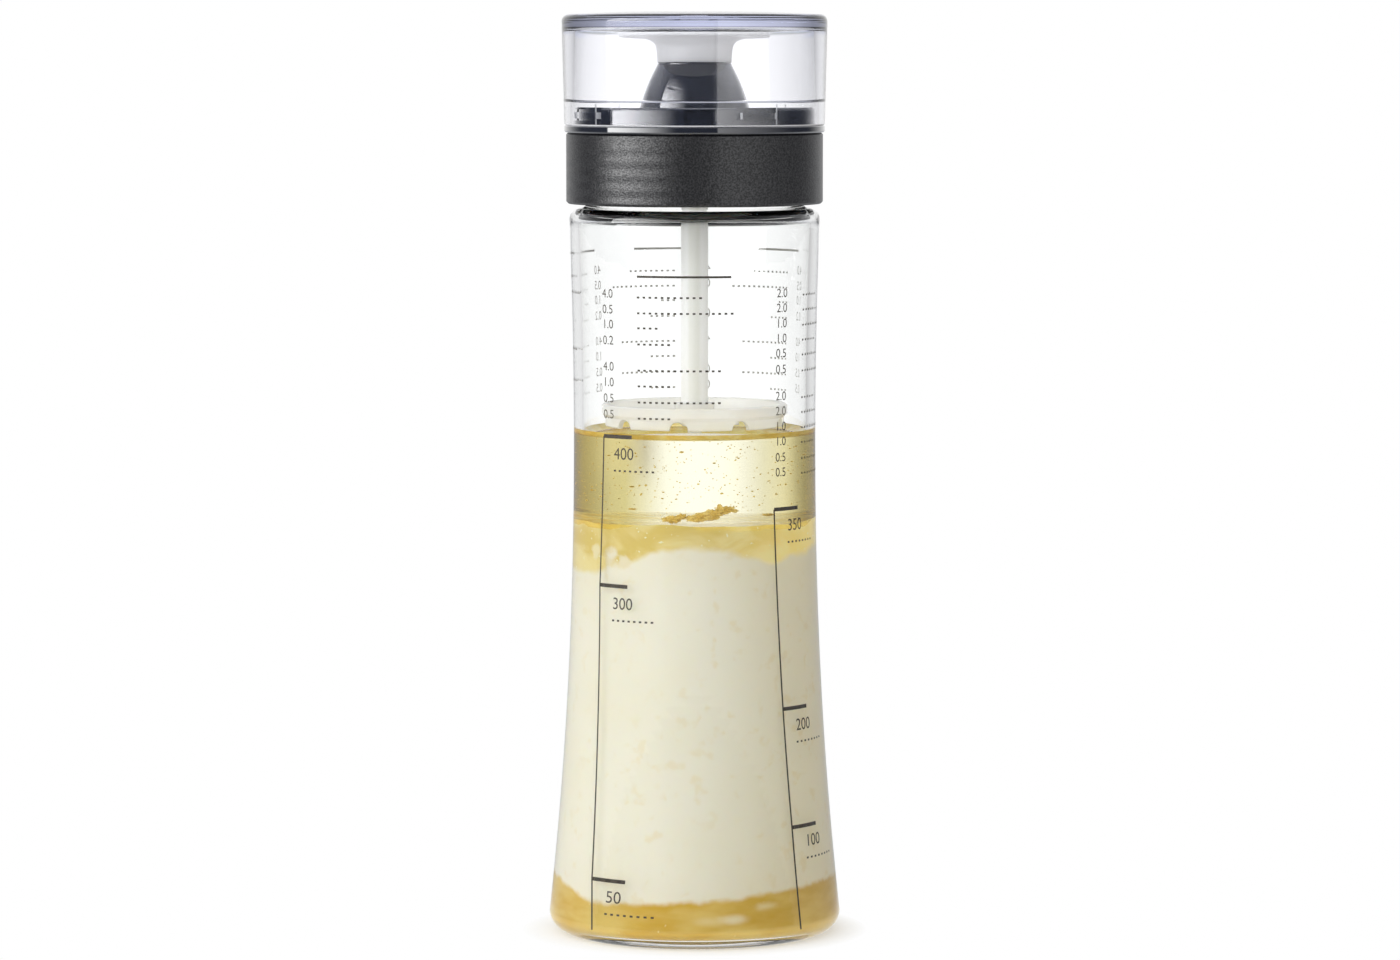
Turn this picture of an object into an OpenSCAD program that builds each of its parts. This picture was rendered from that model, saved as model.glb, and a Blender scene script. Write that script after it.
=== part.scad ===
/* [Glass bottle] */
// Height of the shoulder above the base
shoulder_z = 192.3; // [150:0.1:240]
// Radius of the widest ring, just above the heel
base_r = 38.7; // [36:0.1:46]
// Radius of the waist
waist_r = 32; // [30:0.1:35]
// Height of the waist above the base
waist_z = 136; // [110:1:150]
// Radius of the round between side and shoulder
shoulder_round = 3; // [1:0.1:4]
// Radius of the round between side and foot
heel_round = 5.4; // [3:0.1:7]
// Thickness of the glass wall
glass_wall = 2.5; // [1.6:0.1:3.5]
// Thickness of the glass floor at its middle
glass_floor = 5; // [3:0.1:8]
// Depth of the hollow under the foot
punt_depth = 1.6; // [0.6:0.1:2.5]

/* [Glass mouth] */
// Outer radius of the neck
neck_r = 29; // [27.5:0.1:32]
// How far the shoulder stands out from the neck
shoulder_step = 4.2; // [4:0.1:6]
// Height of the neck above the shoulder
neck_h = 14.2; // [11.5:0.1:20]
// Thickness of the neck wall
neck_wall = 2.5; // [1.8:0.1:3]
// Number of thread lands, and of collar lugs
land_count = 4; // [3:1:5]
// How far a thread land stands out from the neck
land_depth = 1.9; // [1.2:0.1:2]
// Angle that one land covers
land_angle = 58; // [40:1:60]
// Height of a thread land
land_h = 2.4; // [1.6:0.1:3]

/* [Screw collar] */
// Wall thickness of the collar
collar_wall = 2.6; // [2:0.1:4]
// Height of the collar
collar_h = 18.8; // [17:0.1:22]
// Angle that one collar lug covers
lug_angle = 18; // [12:1:20]
// Height of a collar lug
lug_h = 2; // [1.4:0.1:2.6]
// Thickness of the lip that holds the deck
lip_h = 1.7; // [1.2:0.1:2]

/* [Pouring deck] */
// Thickness of the deck flange
flange_h = 1.9; // [1.4:0.1:3]
// How far the ring for the lid stands out past the collar's catch
ring_step = 0.9; // [0.5:0.1:2]
// Height of that ring above the flange
ring_h = 4.9; // [4.4:0.1:8]
// Radius of the round on the ring's top edge
ring_round = 1; // [0.4:0.1:1.5]
// Wall thickness of the moulding
deck_wall = 2; // [1.4:0.1:2.2]
// Radius of the spout at its foot
spout_foot_r = 14.5; // [12.5:0.1:17]
// Radius of the spout at its tip
spout_tip_r = 9.85; // [8.5:0.05:11]
// Height of the spout above the deck
spout_h = 12.3; // [9:0.1:15]
// How far the spout's side swells past a straight cone
spout_swell = 0.45; // [0:0.05:1]
// Radius of the throat in the spout
throat_r = 7.6; // [6:0.1:8]
// Number of ribs that carry the rod socket
rib_count = 4; // [3:1:6]
// Thickness of one rib
rib_t = 1.6; // [1:0.1:2.4]

/* [Mouth seal] */
// Thickness of the seal ring
seal_h = 1.3; // [0.8:0.1:2.5]

/* [Clear lid] */
// Wall thickness of the lid at its open edge
lid_wall = 1.9; // [1.4:0.1:3]
// How much wider the lid is at its top than at its open edge
lid_draft = 0.65; // [0:0.05:1.5]
// Height of the lid at its edge
lid_h = 29.1; // [28:0.1:36]
// Thickness of the lid's top
lid_top_t = 4.2; // [3:0.1:5]
// How far the top swells at its middle
lid_crown = 0.7; // [0:0.1:1.5]
// Radius of the round on the top edge
lid_round = 2; // [1:0.1:2.5]
// Radius of the shallow dimple in the top
dimple_r = 6.5; // [4:0.1:9]
// Number of bayonet lugs
bayonet_count = 4; // [3:1:5]
// Angle that one bayonet lug covers
bayonet_angle = 18; // [10:1:20]
// Height of one bayonet lug
bayonet_h = 1.7; // [1.2:0.1:2]
// Place of the first lug, from the front towards the right
bayonet_place = 31; // [0:1:45]
// Angle that the lid turns to lock
lock_turn = 25; // [15:1:30]

/* [Spout plug] */
// Radius of the plug where it meets the lid
plug_disc_r = 20; // [15:0.5:24]
// Thickness of the plug's disc
plug_disc_h = 1.1; // [0.8:0.1:2]
// Length of the stub that reaches into the throat
stub_h = 3.2; // [1.5:0.1:4.5]

/* [Mixer] */
// Outer radius of the mixer rod
rod_r = 3.6; // [3:0.05:4.5]
// Inner radius of the mixer rod
rod_bore_r = 2.5; // [1.5:0.05:2.8]
// Depth of the rod in its socket under the deck
socket_depth = 12; // [8:0.5:12]
// Height of the disc's rim above the base of the bottle
disc_top_z = 140.7; // [110:0.1:150]
// Outer radius of the disc
disc_r = 24.6; // [20:0.1:25]
// Wall thickness of the disc
disc_wall = 1.4; // [1:0.1:2]
// Height of the disc's rim
rim_h = 3; // [2:0.1:5]
// Height of the lobes under the rim
lobe_h = 2.9; // [1.5:0.1:5]
// Number of lobes
lobe_count = 9; // [5:1:12]
// Number of spokes in the disc
spoke_count = 6; // [3:1:8]

/* [Hidden] */
$fn = 96;
eps = 0.01;
// Clearances
round_gap = 0.4;    // between round faces that pass or turn
slip_gap = 0.05;    // running fit of a rod or boss in its socket
face_gap = 0.2;     // between a captive face and its stop
shoulder_gap = 1.2; // between shoulder and collar
thread_gap = 0.5;   // between a lug and the land above it
lid_gap = 0.7;      // between the lid's skirt and its ring
// Curves of the bottle's side, as powers of the height
foot_power = 2.2;
top_power = 1.9;
side_steps = 12;
top_steps = 5;

waist_flat = 12;    // height above the waist where the side starts to widen

// Small features of the mouldings
lug_rise = 2.2;      // collar's edge to its lugs
lid_step_rise = 1.3; // deck to the step inside the lid
tip_round = 0.6;
groove_depth = 1.3;
groove_wall = 1.2;
skirt_h = 4.5;
socket_wall = 2;
socket_roof = 1.4;
boss_r = 4;
boss_h = 4.4;
hub_wall = 1.6;
hub_rise = 3;
web_h = 1.6;
pin_r = 1.85;
pin_h = 2;

// Heights, worked up from the base
heel_z = heel_round;
neck_top_z = shoulder_z + neck_h;
seal_top_z = neck_top_z + seal_h;
collar_z = shoulder_z + shoulder_gap;
collar_top_z = collar_z + collar_h;
flange_z = collar_top_z;
lip_z = collar_top_z - lip_h;
flange_top_z = flange_z + flange_h;
deck_z = flange_top_z + ring_h;
tip_z = deck_z + spout_h;
lid_z = flange_top_z;
lid_edge_z = lid_z + lid_h;
lid_under_z = lid_edge_z - lid_top_t;
lug_z = collar_z + lug_rise;
land_z = lug_z + lug_h + thread_gap;
lid_step_z = deck_z + lid_step_rise;
socket_top_z = deck_z - deck_wall;
rod_top_z = socket_top_z - socket_roof;
rim_z = disc_top_z - rim_h;

// Radii, worked out from the bottle's mouth
mouth_r = neck_r - neck_wall;
land_r = neck_r + land_depth;
collar_bore_r = land_r + round_gap;
lug_r = neck_r + round_gap;
collar_r = collar_bore_r + collar_wall;
shoulder_r = neck_r + shoulder_step;
catch_r = collar_bore_r - round_gap;
lip_r = catch_r - 0.7;
throat_neck_r = lip_r - round_gap;
skirt_r = mouth_r - round_gap;
ring_r = catch_r + ring_step;
groove_r = ring_r - groove_depth;
bayonet_r = groove_r + round_gap;
lid_bore_r = ring_r + lid_gap;
lid_foot_r = lid_bore_r + lid_wall;
lid_top_r = lid_foot_r + lid_draft;
flange_r = lid_foot_r + slip_gap;

// Outline helpers
function arc(cx, cz, r, a0, a1, n = 8) =
    [for (i = [0 : n]) let (a = a0 + (a1 - a0) * i / n) [cx + r * cos(a), cz + r * sin(a)]];

function side_r(z) = z < waist_z
    ? waist_r + (base_r - waist_r) * pow((waist_z - z) / (waist_z - heel_z), foot_power)
    : waist_r + (shoulder_r - waist_r) * pow((z - waist_z) / (shoulder_z - waist_z), top_power);

// The side from z0 up to z1, moved in by an inset
function side(z0, z1, inset, n) =
    [for (i = [0 : n]) let (z = z0 + (z1 - z0) * i / n) [side_r(z) - inset, z]];

function upside_down(points) = [for (i = [len(points) - 1 : -1 : 0]) points[i]];

function spout_side(n = 12) =
    [for (i = [0 : n]) let (t = i / n)
        [spout_foot_r + (spout_tip_r - spout_foot_r) * t + spout_swell * sin(180 * t),
         deck_z + (spout_h - tip_round) * t]];

// The lid's crowned top, from near its edge in to the dimple
function crown(n = 4) =
    [for (i = [1 : n]) let (t = i / n, r = lid_top_r - lid_round + (dimple_r - lid_top_r + lid_round) * t)
        [r, lid_edge_z + lid_crown * (1 - pow(1 - t, 2))]];

// A piece of a ring between two radii, from a0 to a1 degrees right of the front
module ring_piece(r0, r1, z, h, a0, a1) {
    translate([0, 0, z])
        rotate([0, 0, a0 - 90])
            rotate_extrude(angle = a1 - a0)
                translate([r0, 0])
                    square([r1 - r0, h]);
}

// Glass: foot ring, flared side, rounded shoulder, and a neck with thread lands
module glass_bottle() {
    inner_top = shoulder_z - glass_wall;
    inner_round = max(shoulder_round - glass_wall, 0.6) + 1.2;
    inner_heel = max(heel_round - glass_wall, 0.6) + 1.6;
    wall_top = shoulder_z - shoulder_round;
    root_round = min(1.5, (side_r(wall_top) - shoulder_round - neck_r) * 0.8);
    outer = concat(
        [[0, punt_depth], [base_r - heel_round - 4, punt_depth * 0.8], [base_r - heel_round - 1.6, 0]],
        arc(base_r - heel_round, heel_round, heel_round, -90, -8, 7),
        side(heel_z, waist_z, 0, side_steps),
        side(waist_z + waist_flat, wall_top, 0, top_steps),
        arc(side_r(wall_top) - shoulder_round, wall_top, shoulder_round, 10, 90, 6),
        arc(neck_r + root_round, shoulder_z + root_round, root_round, 270, 180, 4),
        arc(neck_r - 0.8, neck_top_z - 0.8, 0.8, 0, 90, 4)
    );
    inner_foot_r = side_r(glass_floor + inner_heel) - glass_wall;
    inner_shoulder_r = side_r(inner_top - inner_round) - glass_wall;
    inner = concat(
        arc(mouth_r + 0.8, neck_top_z - 0.8, 0.8, 90, 180, 4),
        [[mouth_r, inner_top + 1.5]],
        arc(mouth_r + 1.5, inner_top + 1.5, 1.5, 180, 270, 4),
        arc(inner_shoulder_r - inner_round, inner_top - inner_round, inner_round, 90, 0, 4),
        upside_down(side(waist_z + waist_flat, wall_top - 2 * shoulder_round, glass_wall, top_steps - 1)),
        upside_down(side(glass_floor + inner_heel, waist_z, glass_wall, side_steps)),
        arc(inner_foot_r - inner_heel, glass_floor + inner_heel, inner_heel, -12, -90, 5),
        [[0, glass_floor]]
    );
    color([0.86, 0.93, 0.90, 0.45]) {
        rotate_extrude() polygon(concat(outer, inner));
        for (i = [0 : land_count - 1]) {
            mid = 45 + i * 360 / land_count;
            ring_piece(neck_r - 0.5, land_r, land_z, land_h, mid - land_angle / 2, mid + land_angle / 2);
        }
    }
}

// Seal: a flat ring between the glass lip and the deck
module mouth_seal() {
    color([0.80, 0.80, 0.78])
        translate([0, 0, neck_top_z])
            difference() {
                cylinder(r = neck_r + 0.3, h = seal_h);
                translate([0, 0, -1])
                    cylinder(r = skirt_r + 0.1, h = seal_h + 2);
            }
}

// Collar: turns round the deck, and its lugs pass between the lands of the neck
module screw_collar() {
    edge = 0.6;
    shell = concat(
        [[collar_bore_r, collar_z]],
        [[collar_r - edge, collar_z], [collar_r, collar_z + edge]],
        [[collar_r, collar_top_z - edge], [collar_r - edge, collar_top_z]],
        [[lip_r, collar_top_z], [lip_r, lip_z], [collar_bore_r, lip_z]]
    );
    color([0.13, 0.13, 0.14]) {
        rotate_extrude() polygon(shell);
        for (i = [0 : land_count - 1]) {
            mid = i * 360 / land_count;
            ring_piece(lug_r, collar_bore_r + 0.5, lug_z, lug_h, mid - lug_angle / 2, mid + lug_angle / 2);
        }
    }
}

// One L-shaped groove: a way in from above, and a way round to the left of it
module bayonet_groove(mid) {
    slack = 2;
    low = flange_top_z + 1.4;
    high = low + bayonet_h + 1.3;
    right = mid + bayonet_angle / 2 + slack;
    left = mid - bayonet_angle / 2 - slack;
    ring_piece(groove_r, ring_r + 1, low, deck_z - low + 1, left, right);
    ring_piece(groove_r, ring_r + 1, low, high - low, left - lock_turn, left + eps);
}

// Deck: a thin moulding with a flange, a catch for the collar, a spout and the rod's socket
module pouring_deck() {
    catch_top_z = lip_z - face_gap;
    w = deck_wall;
    inner_r = skirt_r - w;
    neck_in_r = throat_neck_r - w;
    ring_in_r = groove_r - groove_wall;
    ring_in_z = flange_top_z - w + groove_wall;
    outer = concat(
        [[inner_r, neck_top_z - skirt_h], [skirt_r - 0.5, neck_top_z - skirt_h]],
        [[skirt_r, neck_top_z - skirt_h + 1], [skirt_r, seal_top_z], [catch_r, seal_top_z]],
        [[catch_r, catch_top_z], [throat_neck_r, catch_top_z], [throat_neck_r, flange_z]],
        [[flange_r - 0.4, flange_z], [flange_r, flange_z + 0.4]],
        [[flange_r, flange_top_z - 0.3], [flange_r - 0.3, flange_top_z], [ring_r, flange_top_z]],
        arc(ring_r - ring_round, deck_z - ring_round, ring_round, 0, 90, 6),
        spout_side(),
        arc(spout_tip_r - tip_round, tip_z - tip_round, tip_round, 20, 90, 4),
        [[throat_r + 0.5, tip_z], [throat_r, tip_z - 0.5]]
    );
    inner = [
        [throat_r, tip_z - stub_h - 1.5],
        [spout_foot_r - w, deck_z - w + 0.5],
        [spout_foot_r - w + 0.6, deck_z - w],
        [ring_in_r - 0.8, deck_z - w],
        [ring_in_r, deck_z - w - 0.8],
        [ring_in_r, ring_in_z],
        [neck_in_r, flange_z - 0.4],
        [neck_in_r, catch_top_z],
        [inner_r, seal_top_z - w]
    ];
    socket_r = rod_r + socket_wall;
    socket_z = rod_top_z - socket_depth;
    color([0.09, 0.09, 0.10]) {
        difference() {
            rotate_extrude() polygon(concat(outer, inner));
            for (i = [0 : bayonet_count - 1])
                bayonet_groove(bayonet_place + i * 360 / bayonet_count);
        }
        difference() {
            union() {
                translate([0, 0, socket_z])
                    cylinder(r = socket_r, h = socket_top_z - socket_z);
                for (i = [0 : rib_count - 1])
                    rotate([0, 0, i * 360 / rib_count])
                        translate([socket_r - 1, -rib_t / 2, ring_in_z])
                            cube([ring_in_r - socket_r + 1.4, rib_t, socket_top_z - ring_in_z + eps]);
            }
            translate([0, 0, socket_z - 1])
                cylinder(r = rod_r + slip_gap, h = socket_depth + 1);
        }
    }
}

// Lid: a tapered cup with a thick crowned top, a dimple, a boss for the plug and four lugs
module clear_lid() {
    dimple = 0.35;
    outer = concat(
        [[lid_bore_r, lid_z], [lid_foot_r, lid_z]],
        [[lid_top_r, lid_edge_z - lid_round]],
        arc(lid_top_r - lid_round, lid_edge_z - lid_round, lid_round, 10, 86, 7),
        crown(),
        [[dimple_r - 1.2, lid_edge_z + lid_crown - dimple], [0, lid_edge_z + lid_crown - dimple]]
    );
    inner = concat(
        [[0, lid_under_z - boss_h], [boss_r, lid_under_z - boss_h], [boss_r, lid_under_z]],
        arc(lid_bore_r - 0.9 - 1.2, lid_under_z - 1.2, 1.2, 90, 0, 4),
        [[lid_bore_r - 0.5, lid_step_z + 0.5], [lid_bore_r, lid_step_z]]
    );
    color([0.90, 0.91, 0.95, 0.35]) {
        rotate_extrude() polygon(concat(outer, inner));
        for (i = [0 : bayonet_count - 1]) {
            mid = bayonet_place + i * 360 / bayonet_count;
            ring_piece(bayonet_r, lid_bore_r + 0.5, flange_top_z + 1.9, bayonet_h,
                       mid - bayonet_angle / 2, mid + bayonet_angle / 2);
        }
    }
}

// Plug: a soft stopper on the lid's boss, flared up to the lid, its stub in the throat
module spout_plug() {
    neck_top = lid_under_z - plug_disc_h;
    stub_r = throat_r - 0.3;
    flare_r = 5.5;
    flare_h = neck_top - tip_z;
    flare = [for (i = [0 : 10]) let (t = i / 10)
        [spout_tip_r - 0.1 + flare_r * pow(t, 2.6), tip_z + flare_h * t]];
    body = concat(
        [[0, tip_z - stub_h], [stub_r - 0.8, tip_z - stub_h], [stub_r, tip_z - stub_h + 0.8]],
        [[stub_r, tip_z]],
        flare,
        [[plug_disc_r, neck_top], [plug_disc_r, lid_under_z], [boss_r + slip_gap, lid_under_z]],
        [[boss_r + slip_gap, lid_under_z - boss_h - face_gap], [0, lid_under_z - boss_h - face_gap]]
    );
    color([0.74, 0.75, 0.76]) rotate_extrude() polygon(body);
}

// Rod: a hollow rod from its socket in the deck down to the disc
module mixer_rod() {
    rod_z = rim_z + 1;
    color([0.88, 0.87, 0.82])
        difference() {
            translate([0, 0, rod_z])
                cylinder(r = rod_r, h = rod_top_z - rod_z);
            translate([0, 0, rod_z - 1])
                cylinder(r = rod_bore_r, h = rod_top_z - rod_z + 2);
        }
}

// Disc: a rim with wavy lobes, spokes with open windows, and a hub with a pin up the rod
module mixer_disc() {
    hub_r = rod_r + hub_wall;
    lobe_z = rim_z - lobe_h;
    skirt = disc_r - 0.9;
    notch_r = lobe_h - 0.4;
    plug_r = rod_bore_r - slip_gap;
    bore_r = rod_r + slip_gap;
    color([0.90, 0.89, 0.84])
        difference() {
            union() {
                // Rim and the skirt under it
                rotate_extrude()
                    polygon([
                        [skirt - disc_wall, lobe_z],
                        [skirt - 0.3, lobe_z],
                        [skirt, lobe_z + 0.3],
                        [skirt, rim_z - 0.4],
                        [disc_r, rim_z + 0.5],
                        [disc_r, disc_top_z - 0.4],
                        [disc_r - 0.4, disc_top_z],
                        [disc_r - disc_wall + 0.2, disc_top_z],
                        [disc_r - disc_wall - 0.2, disc_top_z - 0.4],
                        [skirt - disc_wall - 0.2, rim_z]
                    ]);
                // Spokes
                for (i = [0 : spoke_count - 1])
                    rotate([0, 0, i * 360 / spoke_count])
                        translate([hub_r - 0.6, -1.2, rim_z - web_h])
                            cube([skirt - disc_wall / 2 - hub_r + 0.6, 2.4, web_h]);
                // Hub
                rotate_extrude()
                    polygon([
                        [0, lobe_z - pin_h],
                        [pin_r, lobe_z - pin_h],
                        [pin_r, lobe_z - 0.2],
                        [rod_r - 0.4, lobe_z - 0.2],
                        [rod_r, lobe_z + 0.2],
                        [hub_r, rim_z - web_h],
                        [hub_r, rim_z + hub_rise],
                        [bore_r, rim_z + hub_rise],
                        [bore_r, rim_z + 1],
                        [plug_r, rim_z + 1],
                        [plug_r, rim_z + hub_rise + 1],
                        [0, rim_z + hub_rise + 1]
                    ]);
            }
            // Arched gaps between the lobes
            for (i = [0 : lobe_count - 1])
                rotate([0, 0, (i + 0.5) * 360 / lobe_count])
                    translate([skirt - disc_wall - 1.5, 0, lobe_z])
                        rotate([0, 90, 0])
                            cylinder(r = notch_r, h = disc_wall + 3);
        }
}

glass_bottle();
mouth_seal();
screw_collar();
pouring_deck();
clear_lid();
spout_plug();
mixer_rod();
mixer_disc();
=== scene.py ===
import math
import random
import bmesh
import bpy
from mathutils import Matrix, Vector, noise


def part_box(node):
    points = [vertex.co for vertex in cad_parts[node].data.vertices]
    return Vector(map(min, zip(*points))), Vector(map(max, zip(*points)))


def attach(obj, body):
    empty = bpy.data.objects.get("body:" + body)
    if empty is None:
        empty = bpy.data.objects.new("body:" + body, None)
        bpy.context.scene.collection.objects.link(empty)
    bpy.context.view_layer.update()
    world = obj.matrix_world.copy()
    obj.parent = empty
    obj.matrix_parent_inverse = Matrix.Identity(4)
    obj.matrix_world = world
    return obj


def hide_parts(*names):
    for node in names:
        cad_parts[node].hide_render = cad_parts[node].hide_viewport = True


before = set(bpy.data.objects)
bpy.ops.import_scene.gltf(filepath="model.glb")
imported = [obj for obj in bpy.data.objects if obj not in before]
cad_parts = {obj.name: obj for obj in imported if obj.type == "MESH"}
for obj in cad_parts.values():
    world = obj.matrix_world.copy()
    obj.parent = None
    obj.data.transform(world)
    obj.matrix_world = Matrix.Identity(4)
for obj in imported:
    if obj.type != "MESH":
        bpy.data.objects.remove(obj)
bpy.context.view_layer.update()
MM = 0.001


# Camera
# A long lens from a metre and a half away, just above the top of the lid and looking
# slightly down. The bottle stands a little to the left of the middle of the frame.
camera_data = bpy.data.cameras.new("camera")
camera_data.lens = 138.857
camera_data.sensor_width = 36
camera = bpy.data.objects.new("camera", camera_data)
camera.location = (0.00143, -1.428, 0.2386)
camera.rotation_euler = (math.radians(90 - 4.7426), 0, 0)
bpy.context.scene.collection.objects.link(camera)
bpy.context.scene.camera = camera
bpy.context.scene.view_settings.view_transform = "Standard"


# Light
# A white studio. The backdrop is a bright panel behind the bottle, so clear parts are white in
# the middle and grey at their edges; ceiling and camera side are dark, with two softboxes.
world = bpy.data.worlds.new("studio")
bpy.context.scene.world = world
world.use_nodes = True
tree = world.node_tree
tree.nodes.clear()
output = tree.nodes.new("ShaderNodeOutputWorld")
background = tree.nodes.new("ShaderNodeBackground")
background.inputs["Strength"].default_value = 1.0
path = tree.nodes.new("ShaderNodeLightPath")
where = tree.nodes.new("ShaderNodeTexCoord")
split = tree.nodes.new("ShaderNodeSeparateXYZ")
tree.links.new(where.outputs["Generated"], split.inputs[0])
WHITE = (1.0, 1.0, 1.0)
KEY_FILL = (1.45, 1.47, 1.50)
SHADE_FILL = (0.12, 0.06, 0.0)
KEY_INSIDE = (2.35, 2.38, 2.41)
SHADE_INSIDE = (1.0, 0.95, 0.85)
FILL_AIM = (-0.6, -0.8, 0.0)
DARK = (0.060, 0.063, 0.072)
DARK_OVERHEAD = (0.16, 0.165, 0.18)
PANEL_AIM = (-0.087, 0.996, 0.0)
PANEL_EDGE = ((0.0, 0.14), (0.40, 0.36), (0.66, 0.48), (0.77, 0.62), (0.82, 0.78), (0.89, 0.92),
              (0.94, 1.0), (0.975, 1.06), (0.99, 1.14))


def ease(tree, value, low, high):
    """0 below low, 1 above high, smooth between."""
    band = tree.nodes.new("ShaderNodeMapRange")
    band.interpolation_type = "SMOOTHSTEP"
    band.inputs["From Min"].default_value = low
    band.inputs["From Max"].default_value = high
    tree.links.new(value, band.inputs["Value"])
    return band.outputs["Result"]


def tint(tree, factor, under, over):
    """Mixes two colours, given as sockets or as red, green and blue."""
    mix = tree.nodes.new("ShaderNodeMix")
    mix.data_type = "RGBA"
    tree.links.new(factor, mix.inputs["Factor"])
    for socket, value in ((mix.inputs[6], under), (mix.inputs[7], over)):
        if isinstance(value, tuple):
            socket.default_value = (*value, 1)
        else:
            tree.links.new(value, socket)
    return mix.outputs[2]


def toward(tree, direction, aim):
    """How near a direction is to an aim: 1 along it, -1 against it."""
    dot = tree.nodes.new("ShaderNodeVectorMath")
    dot.operation = "DOT_PRODUCT"
    dot.inputs[1].default_value = aim
    tree.links.new(direction, dot.inputs[0])
    return dot.outputs["Value"]


def ramp(tree, value, shades):
    """Colours along a value, from pairs of a place and its red, green and blue."""
    node = tree.nodes.new("ShaderNodeValToRGB")
    stops = node.color_ramp.elements
    for place, shade in shades[1:-1]:
        stops.new(place)
    for stop, (place, shade) in zip(stops, shades):
        stop.position = place
        stop.color = (*shade, 1)
    tree.links.new(value, node.inputs["Fac"])
    return node.outputs["Color"]


def backdrop(tree, direction):
    """What clear parts show, by how near a direction is to the middle of the bright panel."""
    greys = [(place, (level, level, level)) for place, level in PANEL_EDGE]
    return ramp(tree, toward(tree, direction, PANEL_AIM), greys)


ceiling = ease(tree, split.outputs["Z"], 0.12, 0.55)
mirrored = tint(tree, ease(tree, split.outputs["Y"], 0.45, 0.97), DARK, (0.95, 0.95, 0.95))
overhead = tint(tree, ease(tree, split.outputs["Y"], -0.3, 0.25), DARK_OVERHEAD, (0.85, 0.86, 0.90))
mirrored = tint(tree, ceiling, mirrored, overhead)
through = tint(tree, ceiling, backdrop(tree, where.outputs["Generated"]), (0.66, 0.68, 0.68))
through = tint(tree, ease(tree, path.outputs["Glossy Depth"], 0.0, 1.0), through, mirrored)
lit_side = ease(tree, toward(tree, where.outputs["Generated"], FILL_AIM), -1.0, 1.0)
fill = tint(tree, lit_side, SHADE_FILL, KEY_FILL)
inside = ease(tree, path.outputs["Transmission Depth"], 2.5, 3.5)
fill = tint(tree, inside, fill, tint(tree, lit_side, SHADE_INSIDE, KEY_INSIDE))
sky = tint(tree, path.outputs["Is Glossy Ray"], WHITE, mirrored)
sky = tint(tree, path.outputs["Is Transmission Ray"], sky, through)
sky = tint(tree, ease(tree, path.outputs["Diffuse Depth"], 0.0, 1.0), sky, fill)
sky = tint(tree, path.outputs["Is Camera Ray"], sky, WHITE)
tree.links.new(sky, background.inputs["Color"])
tree.links.new(background.outputs[0], output.inputs["Surface"])


def softbox(name, azimuth, distance, low, width, tall, watts, fades=None):
    """A soft lamp at an azimuth right of the front, from a height up. Without fades it lights
    matt surfaces. With them it shows in glossy ones: they say how much of its left, right,
    lower and upper parts dims, as on a real softbox."""
    lamp = bpy.data.lights.new(name, "AREA")
    lamp.shape = "RECTANGLE"
    lamp.size = width
    lamp.size_y = tall
    lamp.energy = watts
    box = bpy.data.objects.new(name, lamp)
    turn = math.radians(azimuth)
    box.location = (distance * math.sin(turn), -distance * math.cos(turn), low + tall / 2)
    box.rotation_euler = (math.radians(90), 0, turn)
    box.visible_diffuse = not fades
    box.visible_glossy = bool(fades)
    box.visible_transmission = bool(fades)
    box.visible_camera = False
    bpy.context.scene.collection.objects.link(box)
    if not fades:
        return
    lamp.use_nodes = True
    cloth = lamp.node_tree
    place = cloth.nodes.new("ShaderNodeNewGeometry")
    edge = cloth.nodes.new("ShaderNodeSeparateXYZ")
    bounce = cloth.nodes.new("ShaderNodeLightPath")
    cloth.links.new(place.outputs["Parametric"], edge.inputs[0])
    share = ease(cloth, bounce.outputs["Diffuse Depth"], 1.0, 0.0)
    limits = [(bounce.outputs["Glossy Depth"], 0.0, 1.0), (bounce.outputs["Transmission Depth"], 5.0, 4.0)]
    for axis, near, far in (("X", fades[0], fades[1]), ("Y", fades[2], fades[3])):
        limits += [(edge.outputs[axis], 0.0, near), (edge.outputs[axis], 1.0, 1.0 - far)]
    for value, none, full in limits:
        both = cloth.nodes.new("ShaderNodeMath")
        both.operation = "MULTIPLY"
        cloth.links.new(share, both.inputs[0])
        cloth.links.new(ease(cloth, value, none, full), both.inputs[1])
        share = both.outputs[0]
    cloth.links.new(share, cloth.nodes["Emission"].inputs["Strength"])


softbox("key_left", -66, 0.9, 0.0, 0.7, 0.9, 3.6)
softbox("card_left", -48, 0.8, 0.168, 1.08, 1.0, 25.0, (0.025, 0.85, 0.012, 0.62))
softbox("card_right", 59.3, 0.9, 0.12, 1.5, 0.55, 4.6, (0.01, 1.3, 0.05, 0.35))


# Floor
# A plain white sheet. It keeps the object's soft shadow, and for the camera it fades to the white of the backdrop
# away from the bottle. Close to the bottle it is painted warm, a painted light for the amber light through the
# dressing.
def new_material(name):
    """A node material with its Principled shader, and the material's nodes and links."""
    material = bpy.data.materials.new(name)
    material.use_nodes = True
    nodes = material.node_tree.nodes
    return material, nodes, material.node_tree.links, nodes["Principled BSDF"]


floor_mesh = bpy.data.meshes.new("floor")
bm = bmesh.new()
bmesh.ops.create_grid(bm, x_segments=1, y_segments=1, size=4)
bm.to_mesh(floor_mesh)
bm.free()
floor = bpy.data.objects.new("floor", floor_mesh)
bpy.context.scene.collection.objects.link(floor)
paper, nodes, links, shader = new_material("white_paper")
shader.inputs["Base Color"].default_value = (0.93, 0.93, 0.93, 1)
shader.inputs["Roughness"].default_value = 0.9
glow = nodes.new("ShaderNodeEmission")
blend = nodes.new("ShaderNodeMixShader")
rays = nodes.new("ShaderNodeLightPath")
spot = nodes.new("ShaderNodeTexCoord")
reach = nodes.new("ShaderNodeVectorMath")
reach.operation = "LENGTH"
outward = nodes.new("ShaderNodeVectorMath")
outward.operation = "NORMALIZE"
fade = nodes.new("ShaderNodeMapRange")
fade.inputs["From Min"].default_value = 0.033
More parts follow.
